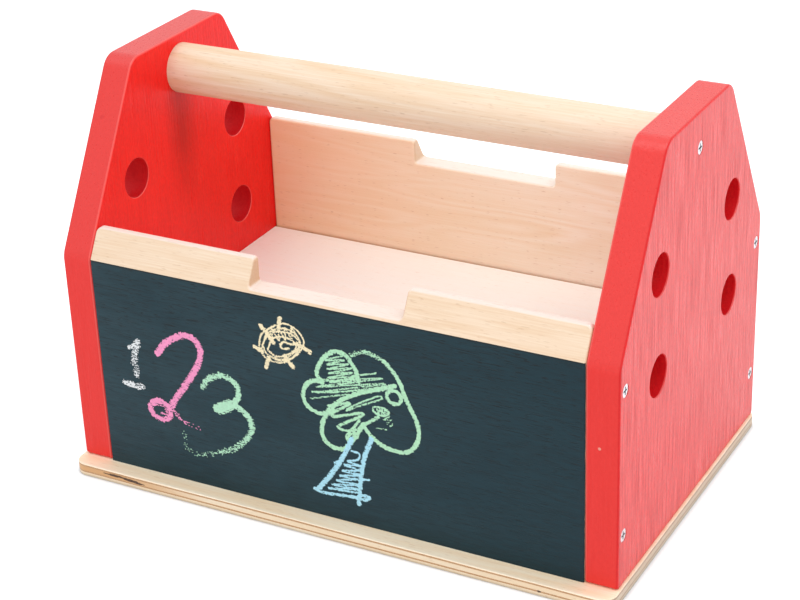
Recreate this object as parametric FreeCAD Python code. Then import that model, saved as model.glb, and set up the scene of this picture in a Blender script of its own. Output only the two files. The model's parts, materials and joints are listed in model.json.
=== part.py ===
import FreeCAD, Part
import math
import os

from FreeCAD import Vector

# Wooden tool tote: two tall ends joined by a round handle, a front and a back panel,
# a plywood base, a raised tray floor, and a drawer that slides out of the back under it.
# Millimetres. +Z is up, +X runs along the handle, and the front faces -Y. The origin is on
# the base's underside, midway between the ends and midway between the two panels.

# ---- Ends ------------------------------------------------------------------------------
end_span = 290.0            # outer face to outer face
end_thick = 16.0
end_depth = 178.0           # front to back, below the shoulders
shoulder_rise = 111.0       # base's top to the shoulder line
end_rise = 196.5            # base's top to the roof
roof_depth = 79.0           # front to back, across the flat roof
shoulder_round = 10.0
roof_round = 10.0
foot_round = 2.0
end_ease = 1.2              # rounding of the ends' long edges

# ---- Tool holes through the ends ---------------------------------------------------------
tool_hole_dia = 20.0
tool_hole_spacing = 90.0    # front hole to back hole
tool_hole_low = 87.0        # base's top to the lower holes' axes
tool_hole_high = 136.5      # base's top to the upper holes' axes
tool_hole_ease = 0.5

# ---- Handle ------------------------------------------------------------------------------
handle_dia = 25.0
handle_drop = 17.5          # roof to the handle's axis
handle_socket = 4.0         # depth that the handle is let into each end
socket_gap = 0.05           # all round the handle in its socket

# ---- Base --------------------------------------------------------------------------------
base_thick = 6.5
base_front_ledge = 9.5      # how far the base stands out in front
base_back_ledge = 3.0
base_side_ledge = 1.2
base_round = 7.0            # corners seen from above
base_ease = 0.6

# ---- Front and back panels ---------------------------------------------------------------
panel_thick = 12.0
panel_top_thick = 3.9       # left at the top, where the outer face slopes in
panel_corner_round = 3.0
panel_ease = 1.2
notch_width = 80.0
notch_lift = 1.5            # shoulder line to the notch's floor
notch_round = 2.0
stile_width = 29.0          # back panel beside the drawer's opening

# ---- Tray floor and the bearers under it -------------------------------------------------
tray_thick = 5.0
tray_gap = 0.3              # between the tray floor and the walls round it
bearer_thick = 10.0

# ---- Drawer ------------------------------------------------------------------------------
drawer_height = 44.5        # height of the drawer's front
drawer_front_thick = 12.0
drawer_wall_thick = 8.0     # sides and back
drawer_bottom_thick = 4.0
drawer_side_drop = 4.5      # front's top edge to the sides' top edges
drawer_front_cover = 6.0    # thickness of the front that hides the sides' ends
drawer_bottom_rise = 4.0    # drawer's lower edge to the bottom's underside
groove_depth = 4.0
groove_gap = 0.1
drawer_side_gap = 0.5
drawer_under_gap = 0.3
drawer_over_gap = 0.7
drawer_rear_gap = 0.5       # to the front panel, when shut
stop_catch = 8.0            # how far the drawer's back rises behind the opening's top
stop_gap = 2.5              # between the drawer's back and the tray floor
drawer_ease = 1.0

# ---- Knob --------------------------------------------------------------------------------
knob_dia = 20.0             # before its edge is eased
knob_neck_dia = 11.0
knob_neck = 3.5             # length of the straight neck
knob_flare = 3.0            # neck to the widest part
knob_length = 13.0
knob_wall = 2.5             # wood left beyond the screw's tip
knob_ease = 0.8             # rounding of the head's edge

# ---- Fasteners ---------------------------------------------------------------------------
screw_head_dia = 6.4
screw_shank_dia = 3.5
screw_rim = 0.4             # straight edge of the countersunk head
screw_tip = 3.0
screw_sink = 0.2            # head's top below the wood
screw_gap = 0.05            # all round a screw in its hole
recess_span = 4.0
recess_width = 0.9
recess_depth = 1.3
panel_screw_bite = 20.0     # length inside the panel
panel_screw_low = 26.0      # base's top to the lower screws
panel_screw_drop = 12.5     # shoulder line to the upper screws
handle_screw_bite = 25.0    # length past the end's inner face
base_screw_bite = 13.5      # length above the base
end_foot_spacing = 110.0    # base screws in each end
front_foot_spacing = 90.0   # base screws along the front panel
bearer_foot_spacing = 100.0
brad_dia = 1.6
brad_length = 20.0
brad_low = 14.0             # drawer's lower edge to the lower side brads
brad_spacing = 20.0
bottom_brad_length = 16.0
bottom_brad_spacing = 60.0
brad_gap = 0.03

# ---- Places that follow from the sizes -----------------------------------------------------
over = 1.0                  # how far a cutter runs past the wood
same = 1e-4                 # places closer than this are one place
end_x = end_span / 2
inner_x = end_x - end_thick
half_depth = end_depth / 2
half_roof = roof_depth / 2
base_top = base_thick
shoulder_z = base_top + shoulder_rise
roof_z = base_top + end_rise
handle_z = roof_z - handle_drop
lean = (half_depth - half_roof) / (roof_z - shoulder_z)
inner_y = half_depth - panel_thick
panel_mid_y = half_depth - panel_thick / 2
panel_top = shoulder_z + (panel_thick - panel_top_thick) / lean
notch_floor = shoulder_z + notch_lift
opening_x = inner_x - stile_width
drawer_z = base_top + drawer_under_gap
opening_top = drawer_z + drawer_height + drawer_over_gap
drawer_back_top = opening_top + stop_catch
bearer_top = drawer_back_top + stop_gap
tray_top = bearer_top + tray_thick
drawer_x = opening_x - drawer_side_gap
drawer_inner_x = drawer_x - drawer_wall_thick
drawer_rear_y = -inner_y + drawer_rear_gap
drawer_inner_y = half_depth - drawer_front_thick
drawer_side_end_y = half_depth - drawer_front_cover
drawer_back_y = drawer_rear_y + drawer_wall_thick
drawer_side_top = drawer_z + drawer_height - drawer_side_drop
drawer_bottom_z = drawer_z + drawer_bottom_rise
drawer_bottom_top = drawer_bottom_z + drawer_bottom_thick
groove_top = drawer_bottom_top + groove_gap
knob_z = drawer_z + drawer_height / 2
knob_screw_length = drawer_front_thick + knob_length - knob_wall


# ---- Helpers -------------------------------------------------------------------------------
def block(low, high):
    """Box between two opposite corners."""
    size = Vector(*high) - Vector(*low)
    return Part.makeBox(size.x, size.y, size.z, Vector(*low))


def rounded_face(corners, radii):
    """Flat face through the corners, each one rounded by its own radius."""
    edges = []
    joints = []
    for i, (corner, radius) in enumerate(zip(corners, radii)):
        back = (corners[i - 1] - corner).normalize()
        ahead = (corners[(i + 1) % len(corners)] - corner).normalize()
        half = back.getAngle(ahead) / 2
        reach = radius / math.tan(half)
        joints.append((corner + back * reach, corner + ahead * reach))
        if radius > 0:
            inward = (back + ahead).normalize()
            middle = corner + inward * (radius / math.sin(half) - radius)
            edges.append(Part.Arc(joints[i][0], middle, joints[i][1]).toShape())
    for i, (start, end) in enumerate(joints):
        following = joints[(i + 1) % len(joints)][0]
        edges.append(Part.LineSegment(end, following).toShape())
    return Part.Face(Part.Wire(Part.__sortEdges__(edges)))


def edges_where(shape, test):
    """Edges of a shape whose middle point passes the test."""
    chosen = []
    for edge in shape.Edges:
        middle = edge.valueAt((edge.FirstParameter + edge.LastParameter) / 2)
        if test(middle):
            chosen.append(edge)
    return chosen


def near(a, b):
    return abs(a - b) < same


def turned(profile):
    """Solid of revolution about +Z from (radius, height) points, joined by straight lines."""
    points = [Vector(r, 0, z) for r, z in profile]
    face = Part.Face(Part.makePolygon(points + points[:1]))
    return face.revolve(Vector(0, 0, 0), Vector(0, 0, 1), 360)


def placed(shape, at, outward):
    """Copy of a shape made along +Z, turned so that +Z points outward, and moved."""
    copy = shape.copy()
    turn = FreeCAD.Rotation(Vector(0, 0, 1), Vector(*outward))
    copy.Placement = FreeCAD.Placement(Vector(*at), turn)
    return copy


def cut_all(shape, cutters):
    for cutter in cutters:
        shape = shape.cut(cutter)
    return shape


def mirrored(shape):
    return shape.mirror(Vector(0, 0, 0), Vector(1, 0, 0))


# ---- Fasteners -----------------------------------------------------------------------------
def screw_form(length, gap):
    """Countersunk screw along -Z with the wood's surface at zero."""
    head_r = screw_head_dia / 2 + gap
    shank_r = screw_shank_dia / 2 + gap
    top = over if gap > 0 else -screw_sink
    cone_top = -screw_sink - screw_rim - gap
    cone_end = cone_top - (head_r - shank_r)
    tip = -length - gap
    return turned([(0, top), (head_r, top), (head_r, cone_top), (shank_r, cone_end),
                   (shank_r, tip + screw_tip), (0, tip)])


def cross_recess():
    long, short = recess_span / 2, recess_width / 2
    floor = -screw_sink - recess_depth
    one = block((-long, -short, floor), (long, short, over))
    other = block((-short, -long, floor), (short, long, over))
    return one.fuse(other)


def screw(length, at, outward):
    return placed(screw_form(length, 0).cut(cross_recess()), at, outward)


def screw_hole(length, at, outward):
    return placed(screw_form(length, screw_gap), at, outward)


def screws(group):
    length, places = group
    return [screw(length, at, outward) for at, outward in places]


def screw_holes(group):
    length, places = group
    return [screw_hole(length, at, outward) for at, outward in places]


def brad(length, at, outward):
    return placed(Part.makeCylinder(brad_dia / 2, length, Vector(0, 0, -length)), at, outward)


def brad_hole(length, at, outward):
    depth = length + brad_gap
    hole = Part.makeCylinder(brad_dia / 2 + brad_gap, depth + over, Vector(0, 0, -depth))
    return placed(hole, at, outward)


# ---- Where the fasteners go: (length, [(point on the wood, outward direction), ...]) ----------
def panel_screws(side, face):
    """Two screws through one end into one panel; side is -1 or 1 in X, face in Y."""
    heights = [base_top + panel_screw_low, shoulder_z - panel_screw_drop]
    places = [((side * end_x, face * panel_mid_y, z), (side, 0, 0)) for z in heights]
    return end_thick + panel_screw_bite, places


def handle_screw(side):
    return end_thick + handle_screw_bite, [((side * end_x, 0, handle_z), (side, 0, 0))]


def foot_screws(spots):
    """Screws up through the base at the given (x, y) spots."""
    return base_thick + base_screw_bite, [((x, y, 0), (0, 0, -1)) for x, y in spots]


def end_foot_screws(side):
    x = side * (end_x - end_thick / 2)
    return foot_screws([(x, y * end_foot_spacing / 2) for y in (-1, 1)])


def bearer_foot_screws(side):
    x = side * (opening_x + bearer_thick / 2)
    return foot_screws([(x, y * bearer_foot_spacing / 2) for y in (-1, 1)])


def front_foot_screws():
    return foot_screws([(i * front_foot_spacing, -panel_mid_y) for i in (-1, 0, 1)])


def back_foot_screws():
    x = inner_x - stile_width / 2
    return foot_screws([(-x, panel_mid_y), (x, panel_mid_y)])


def knob_screw_place():
    return knob_screw_length, [((0, drawer_inner_y, knob_z), (0, -1, 0))]


def side_brads(side):
    """Brads through one drawer side, into the front and into the back."""
    front_y = (drawer_inner_y + drawer_side_end_y) / 2
    back_y = (drawer_rear_y + drawer_back_y) / 2
    heights = [drawer_z + brad_low, drawer_z + brad_low + brad_spacing]
    return [((side * drawer_x, y, z), (side, 0, 0)) for y in (front_y, back_y) for z in heights]


def bottom_brads():
    """Brads up through the drawer's bottom into its back."""
    y = (drawer_rear_y + drawer_back_y) / 2
    return [((i * bottom_brad_spacing, y, drawer_bottom_z), (0, 0, -1)) for i in (-1, 0, 1)]


def side_brad_holes(sides):
    return [brad_hole(brad_length, at, out) for s in sides for at, out in side_brads(s)]


def bottom_brad_holes():
    return [brad_hole(bottom_brad_length, at, out) for at, out in bottom_brads()]


# ---- Tote ----------------------------------------------------------------------------------
def end_blank():
    """Right end without its holes: upright sides, sloping shoulders and a flat roof."""
    outline = [(-half_depth, base_top), (-half_depth, shoulder_z), (-half_roof, roof_z),
               (half_roof, roof_z), (half_depth, shoulder_z), (half_depth, base_top)]
    radii = [foot_round, shoulder_round, roof_round, roof_round, shoulder_round, foot_round]
    face = rounded_face([Vector(inner_x, y, z) for y, z in outline], radii)
    board = face.extrude(Vector(end_thick, 0, 0))
    rims = edges_where(board, lambda p: near(p.x, inner_x) or near(p.x, end_x))
    return board.makeFillet(end_ease, rims)


def tool_hole_axes():
    heights = [base_top + tool_hole_low, base_top + tool_hole_high]
    return [(y * tool_hole_spacing / 2, z) for y in (-1, 1) for z in heights]


def with_tool_holes(board):
    for y, z in tool_hole_axes():
        start = Vector(inner_x - over, y, z)
        drill = Part.makeCylinder(tool_hole_dia / 2, end_thick + 2 * over, start, Vector(1, 0, 0))
        board = board.cut(drill)
    rims = [edge for edge in board.Edges
            if edge.isClosed() and near(edge.Curve.Radius, tool_hole_dia / 2)]
    return board.makeFillet(tool_hole_ease, rims)


def right_end():
    board = with_tool_holes(end_blank())
    socket = Part.makeCylinder(handle_dia / 2 + socket_gap, handle_socket + socket_gap + over,
                               Vector(inner_x - over, 0, handle_z), Vector(1, 0, 0))
    groups = [panel_screws(1, -1), panel_screws(1, 1), handle_screw(1), end_foot_screws(1)]
    return cut_all(board.cut(socket), [hole for group in groups for hole in screw_holes(group)])


def handle_rod():
    reach = inner_x + handle_socket
    rod = Part.makeCylinder(handle_dia / 2, 2 * reach, Vector(-reach, 0, handle_z),
                            Vector(1, 0, 0))
    return cut_all(rod, screw_holes(handle_screw(-1)) + screw_holes(handle_screw(1)))


def base_board():
    x = end_x + base_side_ledge
    low, high = -half_depth - base_front_ledge, half_depth + base_back_ledge
    corners = [Vector(-x, low, 0), Vector(x, low, 0), Vector(x, high, 0), Vector(-x, high, 0)]
    board = rounded_face(corners, [base_round] * 4).extrude(Vector(0, 0, base_thick))
    rims = edges_where(board, lambda p: near(p.z, 0) or near(p.z, base_thick))
    board = board.makeFillet(base_ease, rims)
    groups = [end_foot_screws(-1), end_foot_screws(1), bearer_foot_screws(-1),
              bearer_foot_screws(1), front_foot_screws(), back_foot_screws()]
    return cut_all(board, [hole for group in groups for hole in screw_holes(group)])


def panel_blank():
    """Front panel: upright to the shoulder line, then sloped like the ends, with a notch."""
    x, n = inner_x, notch_width / 2
    outline = [(-x, base_top), (-x, panel_top), (-n, panel_top), (-n, notch_floor),
               (n, notch_floor), (n, panel_top), (x, panel_top), (x, base_top)]
    radii = [0, panel_corner_round] + [notch_round] * 4 + [panel_corner_round, 0]
    face = rounded_face([Vector(px, -half_depth, z) for px, z in outline], radii)
    board = face.extrude(Vector(0, panel_thick, 0))
    crest = panel_top + over
    crest_y = half_depth - lean * (crest - shoulder_z)
    section = [(half_depth, base_top), (half_depth, shoulder_z), (crest_y, crest),
               (inner_y, crest), (inner_y, base_top)]
    wedge = rounded_face([Vector(-x, -y, z) for y, z in section], [0] * 5)
    board = board.common(wedge.extrude(Vector(2 * x, 0, 0)))
    return board.makeFillet(panel_ease, edges_where(board, is_panel_rim))


def is_panel_rim(p):
    """True on the long edges of the panel's faces, apart from its foot and shoulder line."""
    if near(p.z, base_top) or near(p.z, shoulder_z):
        return False
    slope_y = half_depth - lean * max(p.z - shoulder_z, 0)
    return near(-p.y, inner_y) or near(-p.y, slope_y)


def front_panel():
    groups = [panel_screws(-1, -1), panel_screws(1, -1), front_foot_screws()]
    return cut_all(panel_blank(), [hole for group in groups for hole in screw_holes(group)])


def back_panel():
    board = panel_blank()
    board.rotate(Vector(0, 0, 0), Vector(0, 0, 1), 180)
    board = board.cut(block((-opening_x, 0, 0), (opening_x, end_depth, opening_top)))
    groups = [panel_screws(-1, 1), panel_screws(1, 1), back_foot_screws()]
    return cut_all(board, [hole for group in groups for hole in screw_holes(group)])


def tray_floor():
    x, y = inner_x - tray_gap, inner_y - tray_gap
    return block((-x, -y, bearer_top), (x, y, tray_top))


def right_bearer():
    low, high = opening_x, opening_x + bearer_thick
    board = block((low, -inner_y, base_top), (high, inner_y, bearer_top))
    return cut_all(board, screw_holes(bearer_foot_screws(1)))


# ---- Drawer --------------------------------------------------------------------------------
def bottom_groove():
    """Space that the drawer's bottom takes in the front and the sides."""
    x, y = drawer_inner_x + groove_depth, drawer_inner_y + groove_depth
    return block((-x, drawer_rear_y - over, drawer_bottom_z - groove_gap), (x, y, groove_top))


def drawer_front():
    board = block((-drawer_x, drawer_inner_y, drawer_z),
                  (drawer_x, half_depth, drawer_z + drawer_height))
    board = board.makeFillet(drawer_ease, edges_where(board, lambda p: near(p.y, half_depth)))
    for side in (-1, 1):
        xs = sorted((side * drawer_inner_x, side * (drawer_x + over)))
        rebate = block((xs[0], drawer_inner_y - over, drawer_z - over),
                       (xs[1], drawer_side_end_y, drawer_z + drawer_height + over))
        board = board.cut(rebate)
    holes = side_brad_holes((-1, 1)) + screw_holes(knob_screw_place())
    return cut_all(board.cut(bottom_groove()), holes)


def drawer_right_side():
    board = block((drawer_inner_x, drawer_rear_y, drawer_z),
                  (drawer_x, drawer_side_end_y, drawer_side_top))
    x = drawer_inner_x + groove_depth
    groove = block((drawer_inner_x - over, drawer_rear_y - over, drawer_bottom_z - groove_gap),
                   (x, drawer_side_end_y + over, groove_top))
    return cut_all(board.cut(groove), side_brad_holes((1,)))


def drawer_back():
    board = block((-drawer_inner_x, drawer_rear_y, groove_top),
                  (drawer_inner_x, drawer_back_y, drawer_back_top))
    return cut_all(board, side_brad_holes((-1, 1)) + bottom_brad_holes())


def drawer_bottom():
    x = drawer_inner_x + groove_depth - groove_gap
    y = drawer_inner_y + groove_depth - groove_gap
    board = block((-x, drawer_rear_y, drawer_bottom_z), (x, y, drawer_bottom_top))
    return cut_all(board, bottom_brad_holes())


def drawer_brads():
    pins = [brad(brad_length, at, out) for s in (-1, 1) for at, out in side_brads(s)]
    return pins + [brad(bottom_brad_length, at, out) for at, out in bottom_brads()]


def drawer_knob():
    """Turned knob along +Y: a straight neck, a hollow flare and a domed head."""
    neck, head = knob_neck_dia / 2, knob_dia / 2
    wide = knob_neck + knob_flare
    dome = knob_length - wide
    dome_r = (head ** 2 + dome ** 2) / (2 * dome)
    dome_half = math.asin(head / dome_r) / 2
    eighth = math.radians(45)
    crown, rim = Vector(0, 0, knob_length), Vector(head, 0, wide)
    waist, foot = Vector(neck, 0, knob_neck), Vector(neck, 0, 0)
    dome_mid = Vector(dome_r * math.sin(dome_half), 0,
                      knob_length - dome_r * (1 - math.cos(dome_half)))
    flare_mid = Vector(head - (head - neck) * math.cos(eighth), 0,
                       knob_neck + knob_flare * math.sin(eighth))
    centre = Vector(0, 0, 0)
    edges = [Part.Arc(crown, dome_mid, rim).toShape(), Part.Arc(rim, flare_mid, waist).toShape(),
             Part.makeLine(waist, foot), Part.makeLine(foot, centre), Part.makeLine(centre, crown)]
    solid = Part.Face(Part.Wire(edges)).revolve(centre, Vector(0, 0, 1), 360)
    solid = solid.makeFillet(knob_ease, edges_where(solid, lambda p: near(p.z, wide)))
    knob = placed(solid, (0, half_depth, knob_z), (0, 1, 0))
    return cut_all(knob, screw_holes(knob_screw_place()))


# ---- Nodes ---------------------------------------------------------------------------------
nodes = {
    "base_board": base_board(),
    "left_end": mirrored(right_end()),
    "right_end": right_end(),
    "handle_rod": handle_rod(),
    "front_panel": front_panel(),
    "back_panel": back_panel(),
    "tray_floor": tray_floor(),
    "left_bearer": mirrored(right_bearer()),
    "right_bearer": right_bearer(),
    "drawer_front": drawer_front(),
    "drawer_back": drawer_back(),
    "drawer_left_side": mirrored(drawer_right_side()),
    "drawer_right_side": drawer_right_side(),
    "drawer_bottom": drawer_bottom(),
    "drawer_knob": drawer_knob(),
    "knob_screw": screws(knob_screw_place()),
    "drawer_brads": drawer_brads(),
    "front_foot_screws": screws(front_foot_screws()),
    "back_foot_screws": screws(back_foot_screws()),
}
for name, side in (("left", -1), ("right", 1)):
    nodes[name + "_handle_screw"] = screws(handle_screw(side))
    nodes[name + "_front_screws"] = screws(panel_screws(side, -1))
    nodes[name + "_back_screws"] = screws(panel_screws(side, 1))
    nodes[name + "_end_foot_screws"] = screws(end_foot_screws(side))
    nodes[name + "_bearer_foot_screws"] = screws(bearer_foot_screws(side))

os.makedirs("parts", exist_ok=True)
for node, shape in nodes.items():
    if isinstance(shape, list):
        shape = Part.makeCompound(shape)
    shape.exportStep("parts/" + node + ".step")
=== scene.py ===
# Finish of a wooden tool tote: red-stained ends, clear-varnished boards and handle, plywood
# base and tray, a blackboard front with chalk on it, and a drawer that slides out of the back.
# Metres, in the frame of the construction: +Z up, +X along the handle, the front faces -Y.

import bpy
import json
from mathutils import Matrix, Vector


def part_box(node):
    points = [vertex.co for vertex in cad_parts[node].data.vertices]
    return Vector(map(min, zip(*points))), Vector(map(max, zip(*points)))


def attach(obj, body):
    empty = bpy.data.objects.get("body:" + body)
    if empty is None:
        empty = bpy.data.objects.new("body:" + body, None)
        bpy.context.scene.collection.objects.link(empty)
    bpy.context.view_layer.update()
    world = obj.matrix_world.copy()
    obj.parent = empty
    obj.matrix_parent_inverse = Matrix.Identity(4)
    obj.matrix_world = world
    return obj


bl_info = {
    "name": "Wooden Tool Tote",
    "version": (1, 0, 0),
    "blender": (4, 5, 0),
    "location": "3D View > Sidebar > Tool Tote",
    "description": "Stain, varnish, blackboard paint and chalk for a wooden tool tote",
    "category": "Object",
}

import json
import math

import bpy
from bpy.props import FloatProperty, FloatVectorProperty, IntProperty, PointerProperty
from mathutils import Matrix, Vector, noise

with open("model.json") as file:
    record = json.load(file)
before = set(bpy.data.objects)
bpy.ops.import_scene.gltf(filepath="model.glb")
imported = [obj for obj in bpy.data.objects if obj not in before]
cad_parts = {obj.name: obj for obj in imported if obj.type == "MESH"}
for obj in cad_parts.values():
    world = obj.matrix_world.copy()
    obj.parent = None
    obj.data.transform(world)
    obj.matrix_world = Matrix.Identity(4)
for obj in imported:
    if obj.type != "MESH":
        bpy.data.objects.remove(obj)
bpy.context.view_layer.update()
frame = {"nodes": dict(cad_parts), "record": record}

MM = 0.001
WHITE = (1.0, 1.0, 1.0, 1.0)


# ---- Colours and sizes that a user would change ------------------------------------------------
def linear(code):
    """An sRGB hex colour, such as E4393A, as linear red, green, blue and alpha."""
    shares = [int(code[i:i + 2], 16) / 255 for i in (0, 2, 4)]
    return [s / 12.92 if s <= 0.04045 else ((s + 0.055) / 1.055) ** 2.4 for s in shares] + [1.0]


def colour(name, description, code):
    """A colour that a user would change, given as sRGB hex."""
    return FloatVectorProperty(name=name, description=description, subtype="COLOR", size=4,
                               min=0.0, max=1.0, default=linear(code))


def length(name, description, default):
    """A length that a user would change."""
    return FloatProperty(name=name, description=description, subtype="DISTANCE", unit="LENGTH",
                         min=0.0, default=default, precision=5)


class ToteColours(bpy.types.PropertyGroup):
    """Colours of the woods, paint, chalk and plating"""
    stain_pale: colour("Stain, pale", "Red stain where the wood takes least of it", "F31E1A")
    stain_deep: colour("Stain, deep", "Red stain where the wood takes most of it", "C2100F")
    edge_pale: colour("Stained edge, pale", "Red stain on the sawn edges, pale", "EA3934")
    # Painted highlight on the inner arrises and on the lower lips of the bores.
    edge_highlight: colour("Stained edge, rubbed", "Red stain sanded thin on the arrises", "FF9A92")
    edge_deep: colour("Stained edge, deep", "Red stain on the sawn edges, deep", "D42A26")
    stain_bore: colour("Stain, bores", "Red stain soaked into the end grain of holes", "C5121B")
    board_pale: colour("Board, pale", "Early wood of the front and back boards", "EED8C0")
    board_deep: colour("Board, deep", "Late wood of the front and back boards", "DFBB94")
    board_pore: colour("Board, pores", "Open pores of the boards", "B98A5C")
    back_pale: colour("Back board, pale", "Early wood of the back board", "FCF4E4")
    back_deep: colour("Back board, deep", "Late wood of the back board", "F0DAB8")
    heartwood: colour("Heartwood", "Darker, golden wood at one end of the back board", "F0C080")
    handle_pale: colour("Handle, pale", "Early wood of the turned handle", "E9D5C0")
    handle_deep: colour("Handle, deep", "Late wood of the turned handle", "DDBA92")
    handle_pore: colour("Handle, pores", "Open pores of the turned handle", "A87B50")
    veneer_pale: colour("Face veneer, pale", "Palest wood of the plywood's faces", "FFF1D8")
    veneer_deep: colour("Face veneer, deep", "Darkest wood of the plywood's faces", "F9DBB2")
    # Painted highlight along the base's front top arris.
    arris_highlight: colour("Sanded arris", "Veneer sanded pale along the base's front", "FFF2DC")
    # Sanded pale top edges of the boards, with a painted highlight on them.
    sanded_top_and_highlight: colour("Sanded top", "Pale sanded top edges of the boards", "E8DAD4")
    crossband: colour("Crossband", "End grain of the plies that run across", "B8875A")
    # Greyer sawn end grain, darkened further as painted shade.
    sawn_ply_and_shade: colour("Sawn plies", "End grain on the base's left and right edges", "A59C90")
    core: colour("Core", "End grain of the core ply where it is darkest", "D9A873")
    void: colour("Void", "Shadow in a gap inside a ply", "4A2E18")
    tray_pale: colour("Tray, pale", "Palest wood of the tray floor", "FBFEF9")
    tray_deep: colour("Tray, deep", "Darkest wood of the tray floor", "FAF4E8")
    slate: colour("Blackboard", "Blackboard paint", "082C36")
    slate_pore: colour("Blackboard, pores", "Paint sunk into the wood's pores", "0B171B")
    slate_dust: colour("Blackboard, dust", "Chalk dust wiped over the paint", "2B464F")
    chalk_white: colour("White chalk", "Numeral one", "EEF1F2")
    chalk_pink: colour("Pink chalk", "Numeral two", "FF9ECB")
    chalk_mint: colour("Mint chalk", "Numeral three", "BDEDCC")
    chalk_cream: colour("Cream chalk", "Sun", "FFEFC6")
    chalk_green: colour("Green chalk", "Tree's crown", "BCEDC6")
    chalk_blue: colour("Blue chalk", "Tree's trunk", "B5E9FA")
    zinc: colour("Zinc", "Bright zinc plating on the screws", "D9DBDE")
    floor: colour("Floor", "Plain pale floor", "E6E7EA")


class ToteSizes(bpy.types.PropertyGroup):
    """Sizes of the grain, the paint, the chalk and the floor"""
    fibre_width: length("Fibre width", "Width of a bundle of wood fibres", 0.7 * MM)
    fibre_length: length("Fibre length", "Length of a bundle of wood fibres", 26 * MM)
    figure_width: length("Figure width", "Spacing of growth rings on a flat-sawn face", 16 * MM)
    figure_length: length("Figure length", "Length of the growth rings' loops", 150 * MM)
    pore_width: length("Pore width", "Width of an open pore, drawn wide enough to show", 0.45 * MM)
    pore_length: length("Pore length", "Length of an open pore along the grain", 4.5 * MM)
    paint_thick: length("Paint thickness", "Two coats of blackboard paint", 0.08 * MM)
    paint_bare: length("Bare edge", "Board left bare beside the paint at each side", 0.12 * MM)
    chalk_thick: length("Chalk thickness", "Chalk lying on the paint", 0.06 * MM)
    chalk_grain: length("Chalk grain", "Size of the smallest crumb of chalk", 0.32 * MM)
    floor_size: length("Floor size", "Side of the square floor", 30.0)


class ToteStage(bpy.types.PropertyGroup):
    """Where the camera stands, and the light"""
    camera_place: FloatVectorProperty(
        name="Camera place", description="Where the camera stands", subtype="XYZ", unit="LENGTH",
        default=(0.431659, -0.791651, 0.523627), precision=6)
    camera_yaw: FloatProperty(
        name="Camera yaw", description="Turn to the left from looking along +Y",
        subtype="ANGLE", unit="ROTATION", default=math.radians(29.118))
    camera_pitch: FloatProperty(
        name="Camera pitch", description="Tilt above the horizon",
        subtype="ANGLE", unit="ROTATION", default=math.radians(-26.085))
    camera_roll: FloatProperty(
        name="Camera roll", description="Turn about the line of sight",
        subtype="ANGLE", unit="ROTATION", default=math.radians(-2.256))
    lens: FloatProperty(
        name="Lens", description="Focal length on a 36 mm sensor", subtype="DISTANCE_CAMERA",
        unit="CAMERA", default=91.585)
    sky_light: FloatProperty(
        name="Sky light", description="Light from the white room all round", min=0.0, default=1.0)
    backdrop_light: FloatProperty(
        name="Backdrop light", description="Extra light of the backdrop behind", min=0.0,
        default=1.5)
    left_light: FloatProperty(
        name="Left light", description="Strength of the soft lamp in front on the left", min=0.0,
        default=0.4)
    right_light: FloatProperty(
        name="Right light", description="Strength of the soft lamp high on the right", min=0.0,
        default=0.75)
    chalk_seed: IntProperty(
        name="Chalk seed", description="Which crumbs of chalk stay on the board", min=1,
        default=7)


def colours():
    """The colours in the sidebar, linear."""
    return bpy.context.scene.tote_colours


def sizes():
    """The sizes in the sidebar, in metres."""
    return bpy.context.scene.tote_sizes


# ---- Building materials ------------------------------------------------------------------------
def new_material(name):
    """An empty material, named for what the real one is and how it was made."""
    material = bpy.data.materials.new(name)
    material.use_nodes = True
    material.node_tree.nodes.clear()
    return material


def add(tree, kind, inputs=(), **settings):
    """Adds a node with its settings. Its inputs come by name, or in a tuple in their order, and
    each takes a plain value, a socket, or a node, which stands for its first output."""
    made = tree.nodes.new("ShaderNode" + kind)
    for name, value in settings.items():
        setattr(made, name, value)
    in_order = [socket for socket in made.inputs if socket.enabled]
    given = inputs.items() if isinstance(inputs, dict) else enumerate(inputs)
    for key, value in given:
        socket = made.inputs[key] if isinstance(key, str) else in_order[key]
        if isinstance(value, bpy.types.Node):
            value = next(out for out in value.outputs if out.enabled)
        if isinstance(value, bpy.types.NodeSocket):
            tree.links.new(value, socket)
        else:
            socket.default_value = value
    return made


def surface(tree, shader_inputs):
    """Ends the tree in a shader and the material's output."""
    shader = add(tree, "BsdfPrincipled", shader_inputs)
    add(tree, "OutputMaterial", {"Surface": shader})


def places(tree):
    """Outputs X, Y and Z of the place on the object, in metres."""
    at = add(tree, "TexCoord").outputs["Object"]
    return add(tree, "SeparateXYZ", (at,)).outputs


def facings(tree):
    """Outputs X, Y and Z of the way that the surface faces."""
    normal = add(tree, "NewGeometry").outputs["True Normal"]
    return add(tree, "SeparateXYZ", (normal,)).outputs


def streaks(tree, axis, width, along, shift=0.0, detail=2.0):
    """Noise drawn out along an axis; width and along are the size of one streak."""
    scale = [1 / width] * 3
    scale["XYZ".index(axis)] = 1 / along
    place = add(tree, "TexCoord").outputs["Object"]
    drawn = add(tree, "Mapping", {"Vector": place, "Scale": scale, "Location": [shift] * 3})
    return add(tree, "TexNoise", {"Vector": drawn, "Scale": 1.0, "Detail": detail,
                                  "Roughness": 0.55})


def rings(tree, axis, shift, turns=7.0):
    """Growth rings cut flat: bands that follow the contours of drawn-out noise."""
    s = sizes()
    hills = streaks(tree, axis, s.figure_width, s.figure_length, shift, 1.0)
    rise = add(tree, "Math", (hills, turns * 2 * math.pi), operation="MULTIPLY")
    wave = add(tree, "Math", (rise,), operation="SINE")
    return add(tree, "MapRange", (wave, -1.0, 1.0))


def pores(tree, axis, shift, threshold):
    """Open pores: short dark dashes along the grain."""
    s = sizes()
    dashes = streaks(tree, axis, s.pore_width, s.pore_length, shift, 0.0)
    return add(tree, "MapRange", (dashes, threshold, threshold + 0.07))


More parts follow.
